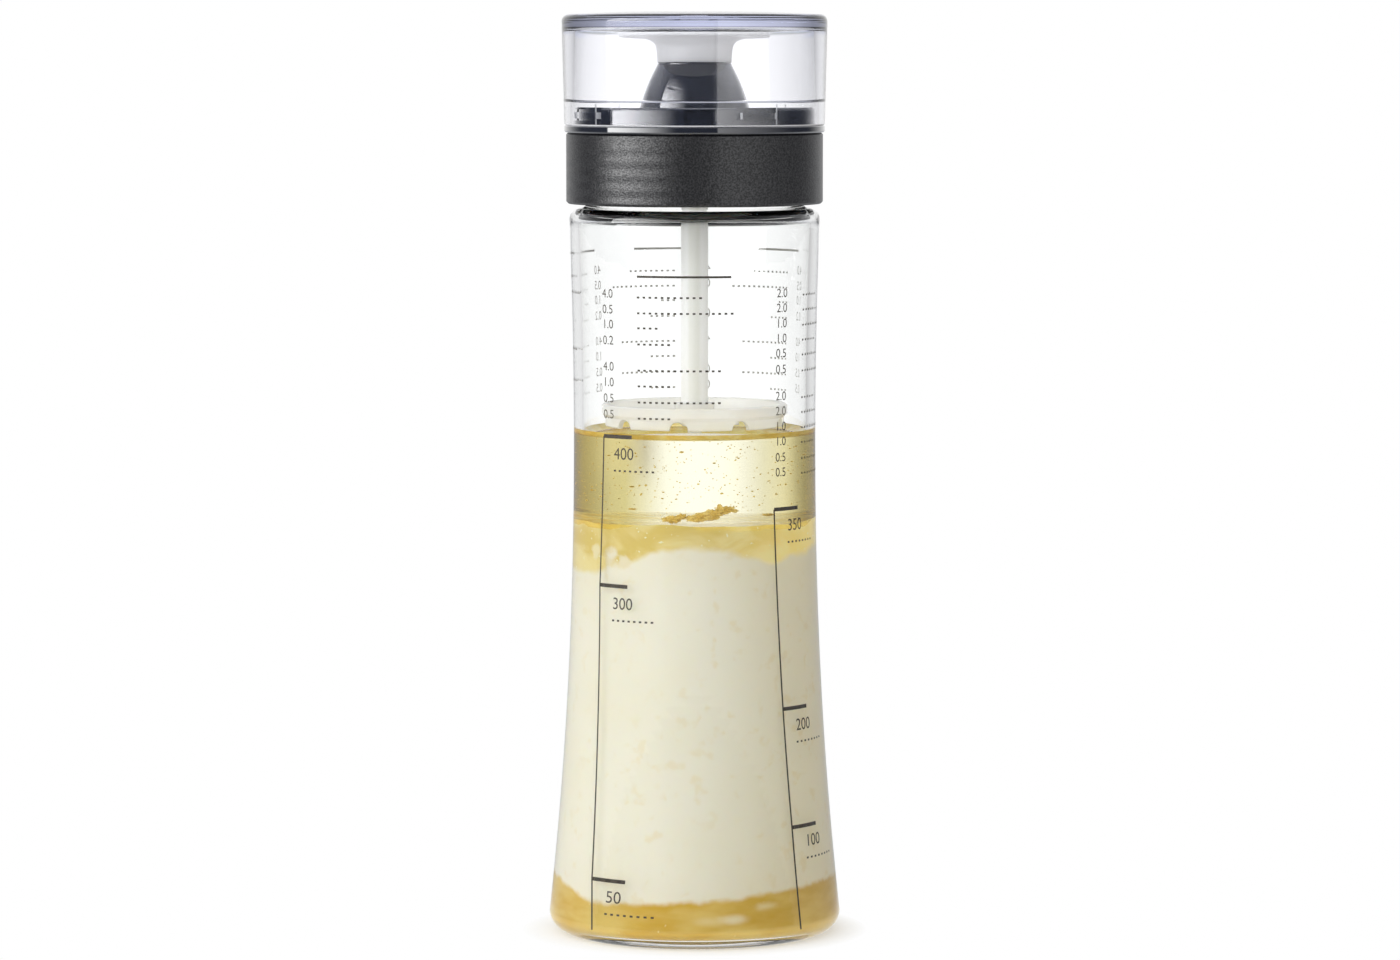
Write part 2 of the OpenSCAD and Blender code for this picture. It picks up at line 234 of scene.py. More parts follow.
fade.inputs["From Max"].default_value = 0.046
fade.inputs["To Min"].default_value = 0.35
seen = nodes.new("ShaderNodeMath")
seen.operation = "MULTIPLY"
clear = nodes.new("ShaderNodeMath")
clear.operation = "MULTIPLY"
clear.inputs[1].default_value = 0.85
share = nodes.new("ShaderNodeMath")
share.operation = "MAXIMUM"
links.new(spot.outputs["Object"], reach.inputs[0])
links.new(spot.outputs["Object"], outward.inputs[0])
links.new(reach.outputs["Value"], fade.inputs["Value"])
links.new(rays.outputs["Is Camera Ray"], seen.inputs[0])
links.new(fade.outputs["Result"], seen.inputs[1])
links.new(rays.outputs["Is Transmission Ray"], clear.inputs[0])
links.new(seen.outputs[0], share.inputs[0])
links.new(clear.outputs[0], share.inputs[1])
far = ease(paper.node_tree, reach.outputs["Value"], 0.05, 0.12)
around = tint(paper.node_tree, far, (0.92, 0.92, 0.90), backdrop(paper.node_tree, outward.outputs[0]))
# Painted light: a warm tint close to the bottle for the amber light through the dressing.
near = tint(paper.node_tree, fade.outputs["Result"], (1.0, 0.98, 0.88), WHITE)
lit = tint(paper.node_tree, rays.outputs["Is Camera Ray"], around, near)
bounced = ease(paper.node_tree, rays.outputs["Diffuse Depth"], 0.0, 1.0)
lit = tint(paper.node_tree, bounced, lit, (0.88, 0.87, 0.84))
gloss = nodes.new("ShaderNodeMath")
gloss.operation = "MULTIPLY"
links.new(rays.outputs["Is Glossy Ray"], gloss.inputs[0])
links.new(rays.outputs["Is Reflection Ray"], gloss.inputs[1])
reflected = tint(paper.node_tree, far, (0.92, 0.92, 0.90), (0.50, 0.51, 0.53))
lit = tint(paper.node_tree, gloss.outputs[0], lit, reflected)
shown = nodes.new("ShaderNodeMath")
shown.operation = "MAXIMUM"
links.new(lit, glow.inputs["Color"])
links.new(share.outputs[0], shown.inputs[0])
links.new(gloss.outputs[0], shown.inputs[1])
links.new(shown.outputs[0], blend.inputs["Fac"])
links.new(shader.outputs[0], blend.inputs[1])
links.new(glow.outputs[0], blend.inputs[2])
links.new(blend.outputs[0], nodes["Material Output"].inputs["Surface"])
floor_mesh.materials.append(paper)


# Glass bottle
# Blown and pressed clear glass: a thick floor with a shallow hollow under it, a side that
# flares from a waist to the heel, a rounded shoulder and a neck with four thread lands.
BASE_R = 38.7
WAIST_R = 32.0
WAIST_Z = 136.0
HEEL = 5.4
SHOULDER_Z = 192.3
SHOULDER_R = 33.2
SHOULDER_ROUND = 3.0
WALL = 2.5
FLOOR_T = 5.0
PUNT = 1.6
NECK_R = 29.0
NECK_WALL = 2.5
NECK_TOP = 206.5
LAND_R = 30.9
LAND_LOW, LAND_HIGH = 198.2, 200.6
OIL_LEVEL = 134.2
FLOOR_EDGE = 2.9


def side_radius(z):
    """The bottle's outer radius in mm at a height in mm, as in the solid."""
    if z < WAIST_Z:
        return WAIST_R + (BASE_R - WAIST_R) * ((WAIST_Z - z) / (WAIST_Z - HEEL)) ** 2.2
    return WAIST_R + (SHOULDER_R - WAIST_R) * ((z - WAIST_Z) / (SHOULDER_Z - WAIST_Z)) ** 1.9


def rounding(centre_r, centre_z, radius, start, end, steps=8):
    """Points of an arc in the outline, from one angle to another."""
    points = []
    for i in range(steps + 1):
        angle = math.radians(start + (end - start) * i / steps)
        points.append((centre_r + radius * math.cos(angle), centre_z + radius * math.sin(angle)))
    return points


def side(low, high, inset, steps):
    """Points of the bottle's side from one height to another, moved in by an inset."""
    heights = [low + (high - low) * i / steps for i in range(steps + 1)]
    return [(side_radius(z) - inset, z) for z in heights]


def finish_mesh(name, bm, material, body):
    """Turns a bmesh into a piece that rides on a body, smooth but for its creases."""
    for edge in bm.edges:
        edge.smooth = edge.calc_face_angle(0) < math.radians(35)
    for face in bm.faces:
        face.smooth = True
    mesh = bpy.data.meshes.new(name)
    bm.to_mesh(mesh)
    bm.free()
    piece = bpy.data.objects.new(name, mesh)
    bpy.context.scene.collection.objects.link(piece)
    mesh.materials.append(material)
    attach(piece, body)
    return piece


def spin_outline(bm, outline, steps=96):
    """Turns an outline in mm about the bottle's axis. Long straight stretches get a point near
    each end, so that the roundings beside them don't bend their shading."""
    held = [outline[0]]
    for (r0, z0), (r1, z1) in zip(outline, outline[1:]):
        length = math.hypot(r1 - r0, z1 - z0)
        if length > 3:
            for share in (0.25 / length, 1 - 0.25 / length):
                held.append((r0 + (r1 - r0) * share, z0 + (z1 - z0) * share))
        held.append((r1, z1))
    start = [bm.verts.new((r * MM, 0, z * MM)) for r, z in held]
    edges = [bm.edges.new(pair) for pair in zip(start, start[1:])]
    bmesh.ops.spin(bm, geom=start + edges, axis=(0, 0, 1), cent=(0, 0, 0),
                   angle=2 * math.pi, steps=steps, use_merge=True)
    bmesh.ops.remove_doubles(bm, verts=bm.verts, dist=1e-6)
    bmesh.ops.recalc_face_normals(bm, faces=bm.faces)


def ring_piece(bm, inner, outer, low, high, start, end, steps=10):
    """A stretch of a square ring, between angles right of the front."""
    corners = [(inner, low), (outer, low), (outer, high), (inner, high)]
    made = [bm.verts.new((r * MM, 0, z * MM)) for r, z in corners]
    face = bm.faces.new(made)
    bmesh.ops.rotate(bm, verts=made, cent=(0, 0, 0), matrix=Matrix.Rotation(math.radians(start - 90), 3, "Z"))
    out = bmesh.ops.spin(bm, geom=made + list(face.edges) + [face], axis=(0, 0, 1), cent=(0, 0, 0),
                         angle=math.radians(end - start), steps=steps)
    return out


glass, nodes, links, shader = new_material("clear_glass")
shader.inputs["Base Color"].default_value = (0.993, 1.0, 0.997, 1)
shader.inputs["Roughness"].default_value = 0.0
shader.inputs["IOR"].default_value = 1.5
shader.inputs["Transmission Weight"].default_value = 1.0

wet_glass, nodes, links, shader = new_material("wetted_glass")
shader.inputs["Alpha"].default_value = 0.0

floor_glass, nodes, links, shader = new_material("glass_under_vinegar")
shader.inputs["Base Color"].default_value = (1.0, 0.96, 0.82, 1)
shader.inputs["Roughness"].default_value = 0.0
shader.inputs["IOR"].default_value = 1.12
shader.inputs["Transmission Weight"].default_value = 1.0

wall_top = SHOULDER_Z - SHOULDER_ROUND
inner_top = SHOULDER_Z - 2.3
inner_round = 1.4
inner_heel = 3.4
inner_foot = side_radius(FLOOR_EDGE + inner_heel) - WALL
floor_dish = [(inner_foot - inner_heel - 5, FLOOR_EDGE + 0.5), (12, FLOOR_T - 0.2), (0, FLOOR_T)]
root = 0.96
outer_outline = [(0, PUNT), (20, PUNT * 0.93), (BASE_R - HEEL - 4, PUNT * 0.7), (BASE_R - HEEL - 1.6, 0)]
outer_outline += rounding(BASE_R - HEEL, HEEL, HEEL, -90, -4, 12)
outer_outline += side(HEEL, wall_top, 0, 60)
outer_outline += rounding(side_radius(wall_top) - SHOULDER_ROUND, wall_top, SHOULDER_ROUND, 10, 90, 8)
outer_outline += rounding(NECK_R + root, SHOULDER_Z + root, root, 270, 180, 6)
outer_outline += rounding(NECK_R - 0.8, NECK_TOP - 0.8, 0.8, 0, 90, 6)
inner_outline = rounding(NECK_R - NECK_WALL + 0.8, NECK_TOP - 0.8, 0.8, 90, 180, 6)
inner_outline += rounding(NECK_R - NECK_WALL + 1.5, inner_top + 1.5, 1.5, 180, 270, 6)
inner_outline += rounding(side_radius(inner_top - inner_round) - WALL - inner_round,
                          inner_top - inner_round, inner_round, 90, 6, 6)
dry_wall = side(OIL_LEVEL, inner_top - 2.6, WALL, 24)
wet_wall = side(FLOOR_EDGE + inner_heel, OIL_LEVEL - 2, WALL, 40)
inner_outline += dry_wall[::-1]
inner_outline += wet_wall[::-1]
inner_outline += rounding(inner_foot - inner_heel, FLOOR_EDGE + inner_heel, inner_heel, -6, -90, 8)
inner_outline += floor_dish
bm = bmesh.new()
spin_outline(bm, outer_outline + inner_outline, 160)
bottle = finish_mesh("bottle_glass", bm, glass, "bottle")
bottle.data.materials.append(wet_glass)
bottle.data.materials.append(floor_glass)
for face in bottle.data.polygons:
    middle = face.center
    reach_out = math.hypot(middle.x, middle.y)
    wet = middle.z < OIL_LEVEL * MM and middle.z > (FLOOR_EDGE - 0.1) * MM
    if wet and reach_out < (side_radius(middle.z / MM) - WALL / 2) * MM:
        face.material_index = 1 if middle.z > (FLOOR_EDGE + inner_heel * 0.5) * MM else 2
bm = bmesh.new()
for i in range(4):
    ring_piece(bm, NECK_R - 0.05, LAND_R, LAND_LOW, LAND_HIGH, 45 + 90 * i - 29, 45 + 90 * i + 29, 14)
bmesh.ops.recalc_face_normals(bm, faces=bm.faces)
lands = finish_mesh("thread_lands", bm, glass, "bottle")
for piece in (bottle, lands):
    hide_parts("glass_bottle")
    piece.visible_shadow = False


# Dressing
# Unshaken ingredients in layers: amber vinegar at the foot, cream above it with faint curds, and a cloudy golden band
# where cream meets oil. Its edges are soft and uneven. Towards the right the cream is painted darker and warmer and
# the golden band lighter, with a painted glow in the band there: painted light and shade. Three pale patches at the
# front of the foot are a painted highlight.
CLOUD_TOP = 110.4
WETTING = 0.12
dressing, nodes, links, shader = new_material("layered_dressing")
mixture = dressing.node_tree
shader.inputs["Roughness"].default_value = 0.45
shader.inputs["Specular IOR Level"].default_value = 0.1
shader.inputs["Subsurface Weight"].default_value = 0.35
shader.inputs["Subsurface Radius"].default_value = (1.0, 0.8, 0.5)
shader.inputs["Subsurface Scale"].default_value = 0.006
spot = nodes.new("ShaderNodeTexCoord")
axes = nodes.new("ShaderNodeSeparateXYZ")
links.new(spot.outputs["Object"], axes.inputs[0])


def node_math(operation, first, second):
    """A Math node in the dressing material, from sockets or numbers."""
    node = nodes.new("ShaderNodeMath")
    node.operation = operation
    for slot, value in enumerate((first, second)):
        if isinstance(value, (int, float)):
            node.inputs[slot].default_value = value
        else:
            links.new(value, node.inputs[slot])
    return node.outputs[0]


def cloud(scale, detail=3.0, stretch=(1, 1, 1), distortion=0.0):
    """A noise pattern over the piece, from 0 to 1."""
    place = nodes.new("ShaderNodeMapping")
    place.inputs["Scale"].default_value = stretch
    links.new(spot.outputs["Object"], place.inputs["Vector"])
    noise = nodes.new("ShaderNodeTexNoise")
    noise.inputs["Scale"].default_value = scale
    noise.inputs["Detail"].default_value = detail
    noise.inputs["Distortion"].default_value = distortion
    links.new(place.outputs[0], noise.inputs["Vector"])
    return noise.outputs["Fac"]


def shoreline(points):
    """A height in metres that runs through a few points across the bottle, x and z in mm."""
    curve = nodes.new("ShaderNodeFloatCurve")
    line = curve.mapping.curves[0]
    half = BASE_R * 1.02
    across = [((x + half) / (2 * half), z / 150) for x, z in points]
    line.points[0].location = across[0]
    line.points[-1].location = across[-1]
    for place in across[1:-1]:
        line.points.new(*place)
    curve.mapping.update()
    shifted = node_math("ADD", node_math("DIVIDE", axes.outputs["X"], 2 * half * MM), 0.5)
    links.new(shifted, curve.inputs["Value"])
    return node_math("MULTIPLY", curve.outputs[0], 150 * MM)


fine = node_math("MULTIPLY", node_math("SUBTRACT", cloud(140, 4), 0.5), 0.004)
broad = node_math("MULTIPLY", node_math("SUBTRACT", cloud(45, 2), 0.5), 0.008)
height = node_math("ADD", axes.outputs["Z"], fine)
cream_top = shoreline([(-39, 96), (-27, 96.5), (-19, 100), (-11, 103.9), (-1, 104.8), (7, 103.3),
                       (18, 100.4), (28, 102.5), (39, 104)])
vinegar_top = shoreline([(-39, 17), (-33, 14.5), (-27, 11.6), (-11, 11.8), (0, 12.4), (17, 13.7),
                         (30, 14.8), (39, 15.6)])
above_cream = node_math("SUBTRACT", height, node_math("ADD", cream_top, broad))
above_vinegar = node_math("SUBTRACT", height, vinegar_top)
curds = ease(mixture, cloud(260, 3), 0.56, 0.72)
cream = tint(mixture, curds, (0.965, 0.93, 0.79), (0.93, 0.86, 0.66))
cream = tint(mixture, ease(mixture, cloud(30, 2), 0.35, 0.75), cream, (0.94, 0.90, 0.74))
# Painted light and shade across the piece: towards +X the cream is painted darker and warmer, and the golden band
# lighter.
right_painted_light_and_shade = ease(mixture, axes.outputs["X"], 0.0, 0.036)
cream = tint(mixture, right_painted_light_and_shade, cream, tint(mixture, curds, (0.98, 0.90, 0.68), (0.94, 0.83, 0.56)))
drift = ease(mixture, cloud(60, 3, (1, 1, 3)), 0.35, 0.7)
amber = tint(mixture, drift, (0.72, 0.47, 0.07), (0.82, 0.62, 0.19))
bubbles = ease(mixture, cloud(700, 1), 0.73, 0.78)
amber = tint(mixture, bubbles, amber, (0.88, 0.72, 0.34))
swirl = ease(mixture, cloud(75, 4, (1, 1, 1.6), 0.6), 0.38, 0.66)
gold = tint(mixture, swirl, (0.79, 0.63, 0.19), (0.91, 0.79, 0.37))
amber = tint(mixture, right_painted_light_and_shade, amber, tint(mixture, drift, (0.72, 0.48, 0.09), (0.83, 0.61, 0.17)))
gold = tint(mixture, right_painted_light_and_shade, gold, tint(mixture, swirl, (0.93, 0.77, 0.27), (0.98, 0.86, 0.42)))
specks = ease(mixture, cloud(900, 1), 0.70, 0.76)
gold = tint(mixture, specks, gold, (0.97, 0.92, 0.66))
lower = tint(mixture, ease(mixture, above_vinegar, -0.0008, 0.0012), amber, cream)
colour = tint(mixture, ease(mixture, above_cream, -0.0010, 0.0014), lower, gold)
# The three lumps up in the cream are curds. The three low ones at the front of the foot are pale patches, a painted
# highlight of the light in the glass heel.
lumps_and_painted_highlights = (((-22.0, -21.5, 101.8), 3.4, (0.95, 0.91, 0.76)), ((-18.0, -25.0, 101.0), 2.6, (0.92, 0.85, 0.62)),
         ((-25.0, -17.0, 103.5), 2.4, (0.92, 0.83, 0.52)), ((4.0, -36.4, 7.6), 6.0, (0.86, 0.70, 0.32)),
         ((10.0, -35.2, 8.0), 5.5, (0.94, 0.84, 0.56)), ((19.0, -31.8, 11.0), 5.0, (0.92, 0.80, 0.46)))
for place, size, lump_and_highlight_colour in lumps_and_painted_highlights:
    away = nodes.new("ShaderNodeVectorMath")
    away.operation = "DISTANCE"
    away.inputs[1].default_value = (place[0] * MM, place[1] * MM, place[2] * MM)
    flat = nodes.new("ShaderNodeMapping")
    high_up = place[2] > 50
    flat.inputs["Scale"].default_value = (1, 1, 1) if high_up else (1, 1, 3.0)
    flat.inputs["Location"].default_value = (0, 0, 0) if high_up else (0, 0, -2.0 * place[2] * MM)
    links.new(spot.outputs["Object"], flat.inputs["Vector"])
    links.new(flat.outputs[0], away.inputs[0])
    ragged = node_math("ADD", away.outputs["Value"], node_math("MULTIPLY", fine, 2.6 if high_up else 1.4))
    core_share = 0.35 if high_up else 0.0
    colour = tint(mixture, ease(mixture, ragged, size * MM, size * core_share * MM), colour, lump_and_highlight_colour)
links.new(colour, shader.inputs["Base Color"])
# Painted glow: the golden band gives off its own light towards +X, standing for the panel's light through it.
links.new(gold, shader.inputs["Emission Color"])
band_painted_glow = node_math("MULTIPLY", right_painted_light_and_shade, ease(mixture, above_cream, -0.0010, 0.0014))
links.new(node_math("MULTIPLY", band_painted_glow, 0.25), shader.inputs["Emission Strength"])

core_outline = [(r, z + 0.05) for r, z in floor_dish[::-1]]
core_outline += rounding(inner_foot - inner_heel, FLOOR_EDGE + inner_heel, inner_heel - 0.05, -90, -6, 8)
core_outline += side(FLOOR_EDGE + inner_heel + 1, CLOUD_TOP, WALL - WETTING, 36)
core_outline += [(20, CLOUD_TOP + 0.3), (0, CLOUD_TOP)]
bm = bmesh.new()
spin_outline(bm, core_outline, 128)
for vert in bm.verts:
    if vert.co.z > (CLOUD_TOP - 0.5) * MM:
        turn = math.atan2(vert.co.y, vert.co.x)
        reach_out = math.hypot(vert.co.x, vert.co.y) / MM
        wave = math.sin(3 * turn + 0.7) + 0.6 * math.sin(7 * turn + 2.0) + 0.4 * math.sin(13 * turn)
        vert.co.z += 0.25 * MM * wave * reach_out / 30
core = finish_mesh("dressing_layers", bm, dressing, "bottle")
skin, nodes, links, shader = new_material("cloud_skin")
shader.inputs["Roughness"].default_value = 0.06
shader.inputs["IOR"].default_value = 1.5
spot = nodes.new("ShaderNodeTexCoord")
patch = nodes.new("ShaderNodeTexNoise")
patch.inputs["Scale"].default_value = 160
links.new(spot.outputs["Object"], patch.inputs["Vector"])
film = ease(skin.node_tree, patch.outputs["Fac"], 0.35, 0.65)
film = tint(skin.node_tree, film, (0.88, 0.70, 0.28), (0.95, 0.88, 0.62))
links.new(film, shader.inputs["Base Color"])
axes = nodes.new("ShaderNodeSeparateXYZ")
sheen = nodes.new("ShaderNodeMath")
sheen.operation = "MULTIPLY"
sheen.inputs[1].default_value = 0.5
links.new(spot.outputs["Object"], axes.inputs[0])
links.new(ease(skin.node_tree, axes.outputs["X"], -0.020, -0.006), sheen.inputs[0])
links.new(sheen.outputs[0], shader.inputs["Specular IOR Level"])
core.data.materials.append(skin)
for face in core.data.polygons:
    if face.normal.z > 0.7 and face.center.z > 0.1:
        face.material_index = 1


# Oil
# Clear pale yellow oil over the cloudy band. It wets the glass, so only its top surface bends light, and that surface
# climbs a little at the wall. The yellow is in its depth. Where the oil meets the glass it is also painted, darker
# and more golden towards its edges as seen, with other shades on the left, right and lower left: a painted shade. Its
# golden ring at the wall is a painted reflection.
oil_surface, nodes, links, shader = new_material("oil_surface")
shader.inputs["Base Color"].default_value = (0.99, 0.97, 0.85, 1)
shader.inputs["Roughness"].default_value = 0.0
shader.inputs["IOR"].default_value = 1.47
shader.inputs["Transmission Weight"].default_value = 1.0
# The meniscus ring is painted gold, a painted reflection of the deep oil that its curve reflects.
oil_rim, nodes, links, shader = new_material("oil_rim")
shader.inputs["Roughness"].default_value = 0.12
shader.inputs["IOR"].default_value = 1.3
shader.inputs["Transmission Weight"].default_value = 0.25
spot = nodes.new("ShaderNodeTexCoord")
patch = nodes.new("ShaderNodeTexNoise")
patch.inputs["Scale"].default_value = 220
links.new(spot.outputs["Object"], patch.inputs["Vector"])
meniscus_painted_reflection = ease(oil_rim.node_tree, patch.outputs["Fac"], 0.4, 0.65)
meniscus_painted_reflection = tint(oil_rim.node_tree, meniscus_painted_reflection, (0.95, 0.74, 0.16), (1.0, 0.92, 0.43))
links.new(meniscus_painted_reflection, shader.inputs["Base Color"])
oil_side, nodes, links, shader = new_material("oil_against_glass")
shader.inputs["Roughness"].default_value = 0.0
shader.inputs["IOR"].default_value = 1.0
shader.inputs["Transmission Weight"].default_value = 1.0
# Painted shade: the side against the glass is tinted by how edge-on it is seen, with separate ramps for the left,
# right and lower left.
slope = nodes.new("ShaderNodeLayerWeight")
slope.inputs["Blend"].default_value = 0.5
OIL_LEFT_PAINTED_SHADE = ((0.0, (1.0, 0.985, 0.94)), (0.016, (0.97, 0.955, 0.90)), (0.045, (0.62, 0.57, 0.44)),
            (0.09, (0.77, 0.67, 0.34)), (0.155, (0.94, 0.81, 0.40)), (0.245, (0.83, 0.66, 0.20)),
            (0.32, (0.78, 0.60, 0.17)))
OIL_RIGHT_PAINTED_SHADE = ((0.0, (1.0, 0.985, 0.94)), (0.016, (0.97, 0.96, 0.90)), (0.045, (0.88, 0.86, 0.78)),
             (0.09, (0.80, 0.76, 0.58)), (0.155, (0.84, 0.765, 0.47)), (0.245, (0.57, 0.47, 0.16)),
             (0.32, (0.62, 0.48, 0.15)))
OIL_LOW_PAINTED_SHADE = ((0.0, (1.0, 0.985, 0.94)), (0.016, (0.97, 0.96, 0.90)), (0.045, (0.86, 0.82, 0.62)),
           (0.09, (0.74, 0.66, 0.33)), (0.155, (0.80, 0.70, 0.34)), (0.245, (0.80, 0.63, 0.19)),
           (0.32, (0.76, 0.58, 0.17)))
spot = nodes.new("ShaderNodeTexCoord")
axes = nodes.new("ShaderNodeSeparateXYZ")
links.new(spot.outputs["Object"], axes.inputs[0])
left_painted_shade = tint(oil_side.node_tree, ease(oil_side.node_tree, axes.outputs["Z"], 0.128, 0.116),
                  ramp(oil_side.node_tree, slope.outputs["Facing"], OIL_LEFT_PAINTED_SHADE),
                  ramp(oil_side.node_tree, slope.outputs["Facing"], OIL_LOW_PAINTED_SHADE))
right_painted_shade = ramp(oil_side.node_tree, slope.outputs["Facing"], OIL_RIGHT_PAINTED_SHADE)
right_half = ease(oil_side.node_tree, axes.outputs["X"], -0.002, 0.002)
links.new(tint(oil_side.node_tree, right_half, left_painted_shade, right_painted_shade), shader.inputs["Base Color"])
for material in (oil_surface, oil_side, oil_rim):
    absorb = material.node_tree.nodes.new("ShaderNodeVolumeAbsorption")
    absorb.inputs["Color"].default_value = (0.94, 0.89, 0.20, 1)
    absorb.inputs["Density"].default_value = 4.0
    material.node_tree.links.new(absorb.outputs[0], material.node_tree.nodes["Material Output"].inputs["Volume"])
oil_low = CLOUD_TOP - 1.5
meniscus = 1.9
creep = 1.7
oil_outline = [(0, oil_low)]
oil_outline += side(oil_low, OIL_LEVEL, WALL - WETTING, 8)
rim = side_radius(OIL_LEVEL) - WALL
for i in range(1, 15):
    inward = 0.45 * i
    oil_outline.append((rim - inward, OIL_LEVEL - meniscus * (1 - math.exp(-inward / creep))))
oil_outline += [(rim - 9, OIL_LEVEL - meniscus), (0, OIL_LEVEL - meniscus)]
bm = bmesh.new()
spin_outline(bm, oil_outline, 128)
oil = finish_mesh("oil", bm, oil_side, "bottle")
oil.data.materials.append(oil_surface)
oil.data.materials.append(oil_rim)
for face in oil.data.polygons:
    if face.normal.z > 0.3:
        face.material_index = 1 if face.center.xy.length < (rim - 2.3) * MM else 2
oil.visible_shadow = False
floc, nodes, links, shader = new_material("golden_floc")
shader.inputs["Roughness"].default_value = 0.6
spot = nodes.new("ShaderNodeTexCoord")
patch = nodes.new("ShaderNodeTexNoise")
patch.inputs["Scale"].default_value = 350
links.new(spot.outputs["Object"], patch.inputs["Vector"])
flecks = ease(floc.node_tree, patch.outputs["Fac"], 0.4, 0.62)
flecks = tint(floc.node_tree, flecks, (0.74, 0.55, 0.15), (0.86, 0.71, 0.30))
links.new(flecks, shader.inputs["Base Color"])
draw = random.Random(11)
bm = bmesh.new()
clumps = (((-5.4, -26.8, 112.2), (2.1, 1.0, 0.85), 4), ((-3.2, -26.6, 112.9), (1.1, 0.7, 0.6), 0),
          ((1.0, -27.2, 112.6), (2.8, 1.2, 1.0), 6), ((4.2, -26.8, 113.3), (2.9, 1.1, 1.15), 12),
          ((7.4, -26.4, 114.5), (2.1, 1.0, 0.85), 9), ((6.2, -26.4, 115.2), (0.6, 0.4, 0.8), 0),
          ((9.6, -26.0, 114.4), (1.1, 0.6, 0.5), -14),
          ((18.2, -21.6, 112.9), (1.5, 1.0, 0.28), 0), ((-15.5, -24.0, 114.6), (1.0, 0.8, 0.22), 0))
for place, size, slant in clumps:
    made = bmesh.ops.create_icosphere(bm, subdivisions=4, radius=1)["verts"]
    for vert in made:
        rough = noise.noise(vert.co * 2.2 + Vector(place)) * 0.7 + noise.noise(vert.co * 7.0) * 0.35
        vert.co *= 1 + rough
    bmesh.ops.scale(bm, verts=made, vec=[side_size * MM for side_size in size])
    bmesh.ops.rotate(bm, verts=made, cent=(0, 0, 0), matrix=Matrix.Rotation(math.radians(-slant), 3, "Y"))
    bmesh.ops.translate(bm, verts=made, vec=Vector(place) * MM)
for i in range(420):
    turn = draw.uniform(0, 2 * math.pi)
    reach_out = 28.5 * math.sqrt(draw.random())
    rise = draw.uniform(CLOUD_TOP + 2.5, OIL_LEVEL - 2.5)
    size = draw.uniform(0.08, 0.19) if i % 12 else draw.uniform(0.20, 0.32)
    made = bmesh.ops.create_icosphere(bm, subdivisions=1, radius=size * MM)["verts"]
    centre = (reach_out * math.cos(turn) * MM, reach_out * math.sin(turn) * MM, rise * MM)
    bmesh.ops.translate(bm, verts=made, vec=centre)
flocs = finish_mesh("flocs_in_oil", bm, floc, "bottle")


# Print
# Brown-black ink fired onto the outside of the glass: two fill scales with plain numbers,
# and plain ruled rows with numbers where a user would write amounts.
INK_LIFT = 0.03
ink, nodes, links, shader = new_material("fired_ink")
shader.inputs["Roughness"].default_value = 0.5
spot = nodes.new("ShaderNodeTexCoord")
patch = nodes.new("ShaderNodeTexNoise")
patch.inputs["Scale"].default_value = 900
links.new(spot.outputs["Object"], patch.inputs["Vector"])
tone = nodes.new("ShaderNodeValToRGB")
tone.color_ramp.elements[0].color = (0.030, 0.024, 0.016, 1)
tone.color_ramp.elements[1].color = (0.070, 0.056, 0.038, 1)
links.new(patch.outputs["Fac"], tone.inputs["Fac"])
seen_from = nodes.new("ShaderNodeNewGeometry")
two_sided = tint(ink.node_tree, seen_from.outputs["Backfacing"], tone.outputs["Color"], (0.52, 0.50, 0.46))
links.new(two_sided, shader.inputs["Base Color"])


def wrap_print(bm, start=0):
    """Lays flat print on the glass: x in it is degrees right of the front, y is height in mm."""
    for vert in list(bm.verts)[start:]:
        turn = math.radians(vert.co.x)
        radius = (side_radius(vert.co.y) + INK_LIFT) * MM
        vert.co = Vector((radius * math.sin(turn), -radius * math.cos(turn), vert.co.y * MM))


def print_bar(bm, x0, y0, x1, y1, thick):
    """A straight printed bar between two places, in degrees and mm, and thick in mm."""
    across = 57.3 / 33.0
    dx = (x1 - x0) / across
    dy = y1 - y0
    length = math.hypot(dx, dy)
    pieces = max(2, round(length / 3))
    count = len(bm.verts)
    bmesh.ops.create_grid(bm, x_segments=pieces, y_segments=1, size=0.5)
    bm.verts.ensure_lookup_table()
    new = list(bm.verts)[count:]
    for vert in new:
        along = (vert.co.x + 0.5) * length
        off = vert.co.y * thick
        vert.co.x = x0 + (along * dx / length - off * dy / length) * across
        vert.co.y = y0 + along * dy / length + off * dx / length
        vert.co.z = 0


def print_number(words, x, y, size, slant=0):
    """Printed digits, as a flat mesh whose x is in degrees and y in mm."""
    text = bpy.data.curves.new("digits", "FONT")
    text.body = words
    text.size = size
    letters = bpy.data.objects.new("digits", text)
    bpy.context.scene.collection.objects.link(letters)
    bpy.context.view_layer.update()
    mesh = bpy.data.meshes.new_from_object(letters)
    bpy.data.objects.remove(letters)
    for vert in mesh.vertices:
        rise = vert.co.y
        vert.co.y = y + rise + slant * vert.co.x
        vert.co.x = x + vert.co.x * 57.3 / 33.0
    return mesh


def print_dots(bm, x, y, length):
    """A row of dots to write on, from a place in degrees and mm, and long in mm."""
    for i in range(round(length / 1.7)):
        at = x + i * 1.7 * 57.3 / 33.0
        print_bar(bm, at, y, at + 1.3, y, 0.5)


